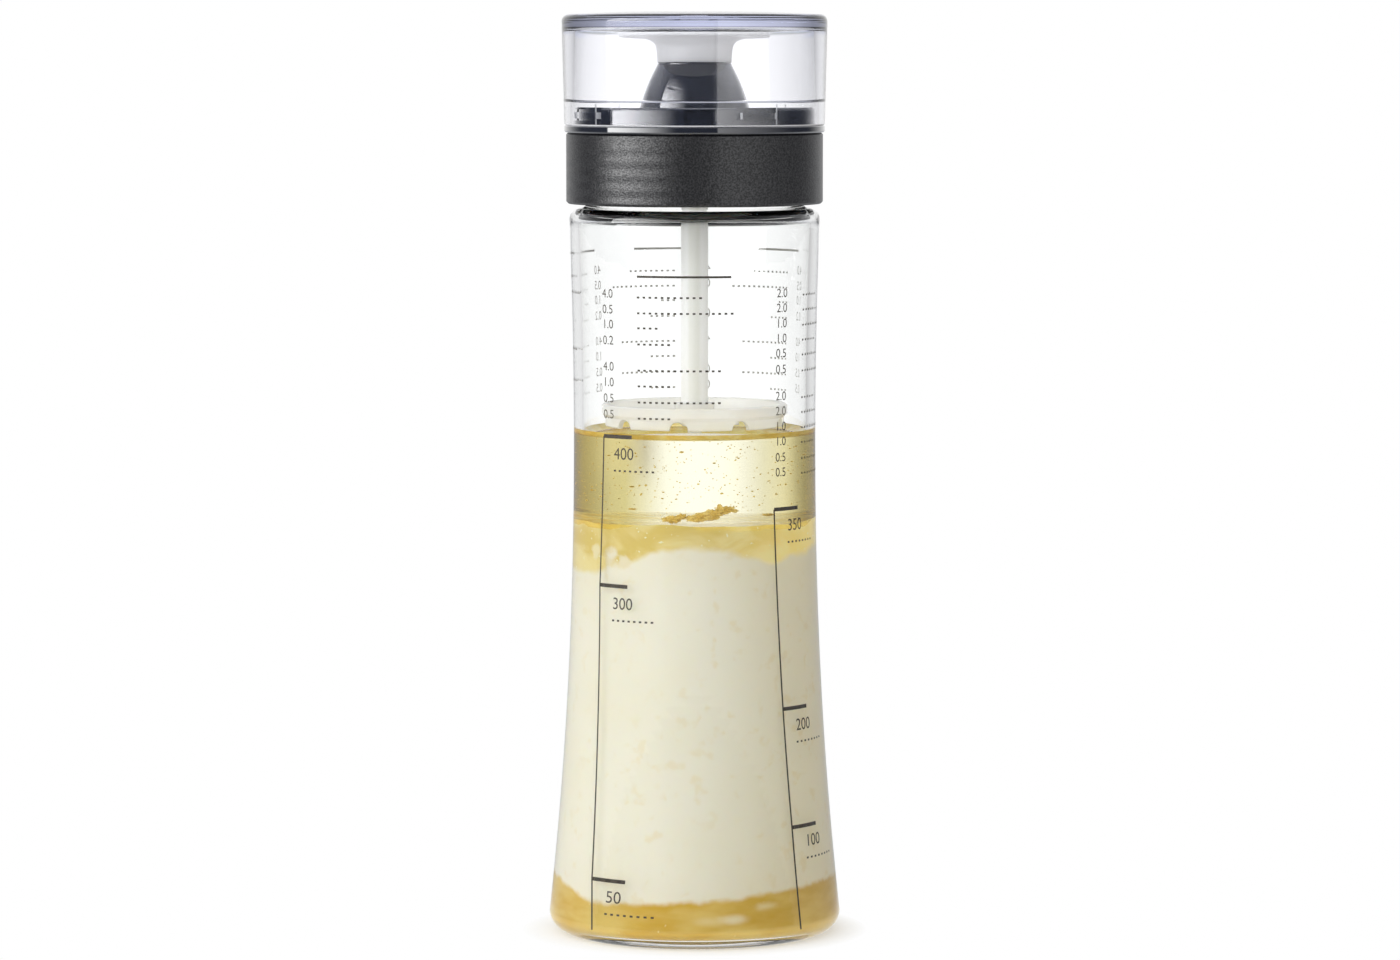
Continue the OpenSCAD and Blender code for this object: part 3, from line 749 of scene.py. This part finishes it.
bm = bmesh.new()
TICK = 1.0
LINE = 0.5
left_marks = [(133.5, -47.6), (94.4, -49.5), (17.5, -45.9)]
right_marks = [(114.4, 40.2), (62.0, 43.0), (30.9, 44.9)]
for (high, turn_high), (low, turn_low) in zip(left_marks, left_marks[1:]):
    print_bar(bm, turn_high, high, turn_low, low, LINE)
print_bar(bm, -45.9, 17.5, -43.8, 4.2, LINE)
for (high, turn_high), (low, turn_low) in zip(right_marks, right_marks[1:]):
    print_bar(bm, turn_high, high, turn_low, low, LINE)
print_bar(bm, 44.9, 30.9, 45.9, 4.2, LINE)
for height_mark, turn in left_marks + right_marks:
    print_bar(bm, turn, height_mark, turn + 17.0, height_mark, TICK)
numbers = []
for words, x, y in (("400", -41.0, 127.6), ("300", -41.0, 88.4), ("50", -38.0, 11.8),
                    ("350", 49.0, 108.6), ("200", 51.0, 56.0), ("100", 53.0, 25.4)):
    numbers.append((words, x, y, 4.4))
    print_dots(bm, x, y - 3.0, 14)
rows = [(170.9, "4.0", 22), (166.8, "0.5", 32), (162.9, "1.0", 8), (158.7, "0.2", 12),
        (151.9, "4.0", 27), (147.8, "1.0", 11), (143.6, "0.5", 27), (139.4, "0.5", 11)]
print_bar(bm, -27.2, 175.4, 17.0, 175.4, 0.55)
for row_z, amount, wide in rows:
    print_dots(bm, -27.4, row_z - 0.9, wide * 0.85)
    numbers.append((amount, -47.8, row_z - 1.2, 3.3))
second = [171.0, 167.1, 163.1, 159.2, 155.3, 151.1, 144.1, 140.2, 136.2, 132.3, 128.1, 124.2]
for i, row_z in enumerate(second):
    print_dots(bm, 60.9, row_z - 0.9, 10 + 4 * (i % 3))
    numbers.append((("2.0", "1.0", "0.5")[i % 6 // 2], 41.2, row_z - 1.2, 3.3))
for side_turn in (112, 178, 243):
    print_bar(bm, side_turn, 180.4, side_turn + 34, 180.4, 0.55)
    for i, (row_z, amount, wide) in enumerate(rows):
        print_dots(bm, side_turn + 12, row_z + 3.5, wide * 0.7)
        numbers.append((amount, side_turn - 6, row_z + 3.2, 3.3))
for number, x, y, size in numbers:
    bm.from_mesh(print_number(number, x, y, size))
wrap_print(bm)
bmesh.ops.remove_doubles(bm, verts=bm.verts, dist=1e-7)
printing = finish_mesh("fill_scale_print", bm, ink, "bottle")


# Mouth seal
# A soft moulded ring between the glass lip and the deck, pale and slightly clear.
seal_rubber, nodes, links, shader = new_material("seal_silicone")
shader.inputs["Base Color"].default_value = (0.72, 0.72, 0.70, 1)
shader.inputs["Roughness"].default_value = 0.45
shader.inputs["Subsurface Weight"].default_value = 0.3
shader.inputs["Subsurface Scale"].default_value = 0.003


def grain_bump(nodes, links, shader, scale, strength, distance, detail=2.0):
    """A fine moulded grain in a material's normals."""
    spot = nodes.new("ShaderNodeTexCoord")
    noise = nodes.new("ShaderNodeTexNoise")
    noise.inputs["Scale"].default_value = scale
    noise.inputs["Detail"].default_value = detail
    bump = nodes.new("ShaderNodeBump")
    bump.inputs["Strength"].default_value = strength
    bump.inputs["Distance"].default_value = distance
    links.new(spot.outputs["Object"], noise.inputs["Vector"])
    links.new(noise.outputs["Fac"], bump.inputs["Height"])
    links.new(bump.outputs["Normal"], shader.inputs["Normal"])
    return spot, noise, bump


def dress_node(name, material):
    """Gives a CAD node's own mesh a material."""
    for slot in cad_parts[name].material_slots:
        slot.material = material


grain_bump(nodes, links, shader, 1500, 0.15, 0.0002)
dress_node("mouth_seal", seal_rubber)


# Screw collar
# Black polypropylene with a fine spark-eroded grain. The thick ring has sunk a little in
# bands where the thread is inside it, which shows as faint level stripes.
collar_black, nodes, links, shader = new_material("collar_black")
shader.inputs["Roughness"].default_value = 0.33
spot, noise, bump = grain_bump(nodes, links, shader, 2300, 0.30, 0.0003, 2.0)
sparkle = nodes.new("ShaderNodeMapRange")
sparkle.inputs["From Min"].default_value = 0.40
sparkle.inputs["From Max"].default_value = 0.62
sparkle.inputs["To Min"].default_value = 0.58
sparkle.inputs["To Max"].default_value = 1.12
links.new(noise.outputs["Fac"], sparkle.inputs["Value"])
links.new(sparkle.outputs["Result"], shader.inputs["Specular IOR Level"])
bands = nodes.new("ShaderNodeTexWave")
bands.bands_direction = "Z"
bands.inputs["Scale"].default_value = 85
bands.inputs["Distortion"].default_value = 0.5
bands.inputs["Detail"].default_value = 0.0
bands.inputs["Detail Scale"].default_value = 0.4
sink = nodes.new("ShaderNodeBump")
sink.inputs["Strength"].default_value = 0.08
sink.inputs["Distance"].default_value = 0.0008
axes = nodes.new("ShaderNodeSeparateXYZ")
lower = nodes.new("ShaderNodeMath")
lower.operation = "MULTIPLY"
links.new(spot.outputs["Object"], axes.inputs[0])
links.new(spot.outputs["Object"], bands.inputs["Vector"])
left = nodes.new("ShaderNodeMath")
left.operation = "MULTIPLY"
links.new(ease(collar_black.node_tree, axes.outputs["Z"], 0.211, 0.205), lower.inputs[0])
links.new(bands.outputs["Fac"], lower.inputs[1])
links.new(ease(collar_black.node_tree, axes.outputs["X"], 0.002, -0.008), left.inputs[0])
links.new(lower.outputs[0], left.inputs[1])
links.new(left.outputs[0], sink.inputs["Height"])
links.new(sink.outputs["Normal"], bump.inputs["Normal"])
tone = nodes.new("ShaderNodeValToRGB")
tone.color_ramp.elements[0].color = (0.004, 0.004, 0.005, 1)
tone.color_ramp.elements[1].color = (0.014, 0.014, 0.016, 1)
tone.color_ramp.elements[0].position = 0.35
tone.color_ramp.elements[1].position = 0.65
links.new(noise.outputs["Fac"], tone.inputs["Fac"])
links.new(tone.outputs["Color"], shader.inputs["Base Color"])
dress_node("screw_collar", collar_black)


# Pouring deck
# Black polished styrene copolymer from a mirror-finished mould, so it shows the softboxes.
deck_black, nodes, links, shader = new_material("deck_black")
shader.inputs["IOR"].default_value = 1.57
shader.inputs["Coat Weight"].default_value = 1.0
shader.inputs["Coat Roughness"].default_value = 0.03
shader.inputs["Coat IOR"].default_value = 1.6
spot, noise, bump = grain_bump(nodes, links, shader, 45, 0.3, 0.0006, 1.0)
smudge = nodes.new("ShaderNodeTexNoise")
smudge.inputs["Scale"].default_value = 120
smudge.inputs["Detail"].default_value = 4
gloss = nodes.new("ShaderNodeMapRange")
gloss.inputs["To Min"].default_value = 0.02
gloss.inputs["To Max"].default_value = 0.05
links.new(spot.outputs["Object"], smudge.inputs["Vector"])
links.new(smudge.outputs["Fac"], gloss.inputs["Value"])
links.new(gloss.outputs["Result"], shader.inputs["Roughness"])
tone = nodes.new("ShaderNodeValToRGB")
tone.color_ramp.elements[0].color = (0.009, 0.011, 0.018, 1)
tone.color_ramp.elements[1].color = (0.015, 0.018, 0.028, 1)
links.new(smudge.outputs["Fac"], tone.inputs["Fac"])
links.new(tone.outputs["Color"], shader.inputs["Base Color"])
dress_node("pouring_deck", deck_black)


# Clear lid
# Injection moulded clear styrene with a cool tint in its depth: a tapered cup with a thick crowned top, a gate
# dimple, a boss for the plug and four lugs inside its open edge. Its reflections are painted: dimmed over most of it
# and full at the top of the rim and on its front right. Its open edge and the side faces of the lugs and ribs are
# painted white, a painted glint.
lid_clear, nodes, links, shader = new_material("lid_clear")
slope = nodes.new("ShaderNodeLayerWeight")
slope.inputs["Blend"].default_value = 0.5
edge_on = ease(lid_clear.node_tree, slope.outputs["Facing"], 0.4, 1.0)
spot = nodes.new("ShaderNodeTexCoord")
axes = nodes.new("ShaderNodeSeparateXYZ")
links.new(spot.outputs["Object"], axes.inputs[0])
lid_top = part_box("clear_lid")[1].z
thick_top = lid_top - 0.0065
# Painted reflection: the lid's reflections are dimmed to about a tenth, and kept full only around the top of its rim
# and on its front right.
flat = nodes.new("ShaderNodeVectorMath")
flat.operation = "MULTIPLY"
flat.inputs[1].default_value = (1, 1, 0)
reach = nodes.new("ShaderNodeVectorMath")
reach.operation = "LENGTH"
rim_reflection_mask = nodes.new("ShaderNodeMath")
rim_reflection_mask.operation = "MULTIPLY"
links.new(spot.outputs["Object"], flat.inputs[0])
links.new(flat.outputs[0], reach.inputs[0])
links.new(ease(lid_clear.node_tree, reach.outputs["Value"], 0.0328, 0.0338), rim_reflection_mask.inputs[0])
links.new(ease(lid_clear.node_tree, axes.outputs["Z"], lid_top - 0.0030, lid_top - 0.0022), rim_reflection_mask.inputs[1])
front_right_reflection_mask = nodes.new("ShaderNodeMath")
front_right_reflection_mask.operation = "MULTIPLY"
links.new(ease(lid_clear.node_tree, axes.outputs["X"], 0.0045, 0.0055), front_right_reflection_mask.inputs[0])
links.new(ease(lid_clear.node_tree, axes.outputs["Y"], -0.006, -0.012), front_right_reflection_mask.inputs[1])
painted_reflection_tint = tint(lid_clear.node_tree, front_right_reflection_mask.outputs[0], (0.12, 0.12, 0.13), WHITE)
painted_reflection_shine = tint(lid_clear.node_tree, rim_reflection_mask.outputs[0], painted_reflection_tint, WHITE)
links.new(painted_reflection_shine, shader.inputs["Specular Tint"])
high = ease(lid_clear.node_tree, axes.outputs["Z"], thick_top, thick_top + 0.001)
edge_tint = tint(lid_clear.node_tree, high, (0.93, 0.932, 0.94), (0.60, 0.66, 0.97))
cool = tint(lid_clear.node_tree, edge_on, (0.99, 0.99, 1.0), edge_tint)
links.new(cool, shader.inputs["Base Color"])
shader.inputs["Roughness"].default_value = 0.0
shader.inputs["IOR"].default_value = 1.55
shader.inputs["Transmission Weight"].default_value = 1.0
# Painted glint: the open edge and the lugs' and ribs' top, bottom and end faces are milky white, standing for light
# glinting in the clear edges.
lid_edge_painted_glint, nodes, links, shader = new_material("lid_edge_painted_glint")
shader.inputs["Base Color"].default_value = (0.95, 0.96, 0.99, 1)
shader.inputs["Roughness"].default_value = 0.25
shader.inputs["Transmission Weight"].default_value = 0.1
for material in (lid_clear, lid_edge_painted_glint):
    absorb = material.node_tree.nodes.new("ShaderNodeVolumeAbsorption")
    absorb.inputs["Color"].default_value = (0.22, 0.28, 0.62, 1)
    absorb.inputs["Density"].default_value = 12.0
    material.node_tree.links.new(absorb.outputs[0], material.node_tree.nodes["Material Output"].inputs["Volume"])
lid_low, lid_high = (corner.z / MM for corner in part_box("clear_lid"))
LID_EDGE = lid_low + 29.1
LID_TOP_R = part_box("clear_lid")[1].x / MM
LID_FOOT_R = LID_TOP_R - 0.65
LID_BORE = LID_FOOT_R - 1.9
LID_UNDER = LID_EDGE - 4.2 + 0.03
LID_STEP = lid_low + 6.2
CROWN = 0.7
DIMPLE = 6.5
LID_ROUND = 2.0
outer_outline = [(LID_BORE, lid_low), (LID_BORE + 0.3, lid_low), (LID_FOOT_R - 0.35, lid_low)]
outer_outline += [(LID_FOOT_R, lid_low + 0.35)]
outer_outline += rounding(LID_TOP_R - LID_ROUND, LID_EDGE - LID_ROUND, LID_ROUND, 2, 86, 12)
for i in range(1, 13):
    share = i / 12
    radius = LID_TOP_R - LID_ROUND + (DIMPLE + 0.6 - LID_TOP_R + LID_ROUND) * share
    outer_outline.append((radius, LID_EDGE + CROWN * (1 - (1 - share) ** 2)))
outer_outline += [(DIMPLE, lid_high - 0.04), (DIMPLE - 0.5, lid_high - 0.15), (DIMPLE - 1.0, lid_high - 0.28),
                  (DIMPLE - 1.6, lid_high - 0.34), (0, lid_high - 0.35)]
BOSS_R, BOSS_H = 4.0, 4.4
inner_outline = [(0, LID_UNDER - BOSS_H), (BOSS_R, LID_UNDER - BOSS_H), (BOSS_R, LID_UNDER)]
inner_outline += [(20.6, LID_UNDER), (23.5, LID_UNDER + 0.9)]
inner_outline += rounding(LID_BORE - 2.1, LID_UNDER - 0.3, 1.2, 90, 2, 8)
inner_outline += [(LID_BORE - 0.5, LID_STEP + 0.5), (LID_BORE - 0.42, LID_STEP + 0.3),
                  (LID_BORE, LID_STEP), (LID_BORE, LID_STEP - 0.2), (LID_BORE, lid_low)]
bm = bmesh.new()
spin_outline(bm, outer_outline + inner_outline, 160)
shell = set(bm.faces)
for i in range(4):
    middle = 31 + 90 * i
    ring_piece(bm, LID_BORE - 1.6, LID_BORE + 0.1, lid_low + 1.9, lid_low + 3.6, middle - 9, middle + 9, 8)
for i in range(4):
    stop = 31 + 90 * i + 8.6
    ring_piece(bm, LID_BORE - 0.22, LID_BORE + 0.1, lid_low + 0.4, LID_STEP - 0.4, stop, stop + 0.4, 1)
bmesh.ops.recalc_face_normals(bm, faces=bm.faces)
# Faces that take the painted glint.
for face in bm.faces:
    middle = face.calc_center_median()
    outward = abs(face.normal.xy.dot(middle.xy.normalized())) > 0.7
    if middle.z < (lid_low + 0.3) * MM or (face not in shell and not outward):
        face.material_index = 1
lid = finish_mesh("lid_shell", bm, lid_clear, "lid")
lid.data.materials.append(lid_edge_painted_glint)
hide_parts("clear_lid")
lid.visible_shadow = False


# Spout plug
# Soft translucent silicone, dull from its mould, pressed over the boss under the lid.
plug_soft, nodes, links, shader = new_material("plug_silicone")
shader.inputs["Roughness"].default_value = 0.38
shader.inputs["Subsurface Weight"].default_value = 0.9
shader.inputs["Subsurface Radius"].default_value = WHITE
shader.inputs["Subsurface Scale"].default_value = 0.006
spot, noise, bump = grain_bump(nodes, links, shader, 900, 0.08, 0.0002)
tone = nodes.new("ShaderNodeValToRGB")
tone.color_ramp.elements[0].color = (0.81, 0.81, 0.82, 1)
tone.color_ramp.elements[1].color = (0.87, 0.87, 0.87, 1)
links.new(noise.outputs["Fac"], tone.inputs["Fac"])
links.new(tone.outputs["Color"], shader.inputs["Base Color"])
PLUG_TIP, PLUG_TOP = (corner.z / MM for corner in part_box("spout_plug"))
PLUG_DISC_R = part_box("spout_plug")[1].x / MM
STUB_H = 3.2
STUB_R = 7.3
plug_seat = PLUG_TIP + STUB_H
NECK_R_TOP = 9.75
plug_disc_low = PLUG_TOP - 1.1
flare_h = plug_disc_low - plug_seat
plug_outline = [(0, PLUG_TIP), (STUB_R - 0.8, PLUG_TIP), (STUB_R, PLUG_TIP + 0.8), (STUB_R, plug_seat)]
for i in range(17):
    share = i / 16
    plug_outline.append((NECK_R_TOP + 0.55 * share + 4.2 * share ** 8, plug_seat + flare_h * share))
plug_outline += [(PLUG_DISC_R - 0.3, plug_disc_low), (PLUG_DISC_R, plug_disc_low + 0.3), (PLUG_DISC_R, PLUG_TOP)]
plug_outline += [(BOSS_R + 0.25, PLUG_TOP), (BOSS_R + 0.25, PLUG_TOP - BOSS_H - 0.1), (0, PLUG_TOP - BOSS_H - 0.1)]
bm = bmesh.new()
spin_outline(bm, plug_outline, 96)
plug = finish_mesh("spout_plug_soft", bm, plug_soft, "lid")
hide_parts("spout_plug")


# Mixer rod and disc
# Natural polypropylene, milky and slightly warm: a drawn tube, and a moulded disc with a
# rim, lobes and spokes pressed onto its foot.
def natural_plastic(name, clearness, roughness, backlight, core, edge):
    """Milky plastic with faint drawing streaks, with one shade face on and another at its edges. The backlight is a
    painted glow, in the same shade, that stands for the light of the panel that such plastic lets through."""
    material, nodes, links, shader = new_material(name)
    shader.inputs["Roughness"].default_value = roughness
    shader.inputs["IOR"].default_value = 1.42
    shader.inputs["Transmission Weight"].default_value = clearness
    shader.inputs["Subsurface Weight"].default_value = 0.6
    shader.inputs["Subsurface Radius"].default_value = WHITE
    shader.inputs["Subsurface Scale"].default_value = 0.003
    spot = nodes.new("ShaderNodeTexCoord")
    place = nodes.new("ShaderNodeMapping")
    place.inputs["Scale"].default_value = (1, 1, 0.02)
    streak = nodes.new("ShaderNodeTexNoise")
    streak.inputs["Scale"].default_value = 900
    links.new(spot.outputs["Object"], place.inputs["Vector"])
    links.new(place.outputs[0], streak.inputs["Vector"])
    slope = nodes.new("ShaderNodeLayerWeight")
    slope.inputs["Blend"].default_value = 0.5
    shade = tint(material.node_tree, ease(material.node_tree, slope.outputs["Facing"], 0.02, 0.2), core, edge)
    drawn = ease(material.node_tree, streak.outputs["Fac"], 0.7, 0.3)
    shade = tint(material.node_tree, node_share(nodes, links, drawn, 0.25), shade, WHITE)
    links.new(shade, shader.inputs["Base Color"])
    # Painted glow in the piece's own shade, for the panel's light through it.
    links.new(shade, shader.inputs["Emission Color"])
    shader.inputs["Emission Strength"].default_value = backlight
    return material


def node_share(nodes, links, value, share):
    """A part of a socket's value."""
    part = nodes.new("ShaderNodeMath")
    part.operation = "MULTIPLY"
    part.inputs[1].default_value = share
    links.new(value, part.inputs[0])
    return part.outputs[0]


dress_node("mixer_rod", natural_plastic("rod_plastic", 0.12, 0.34, 0.02, (0.83, 0.83, 0.77), (0.99, 0.99, 0.97)))
dress_node("mixer_disc", natural_plastic("disc_plastic", 0.50, 0.16, 0.045, (0.98, 0.975, 0.93), (0.98, 0.975, 0.94)))
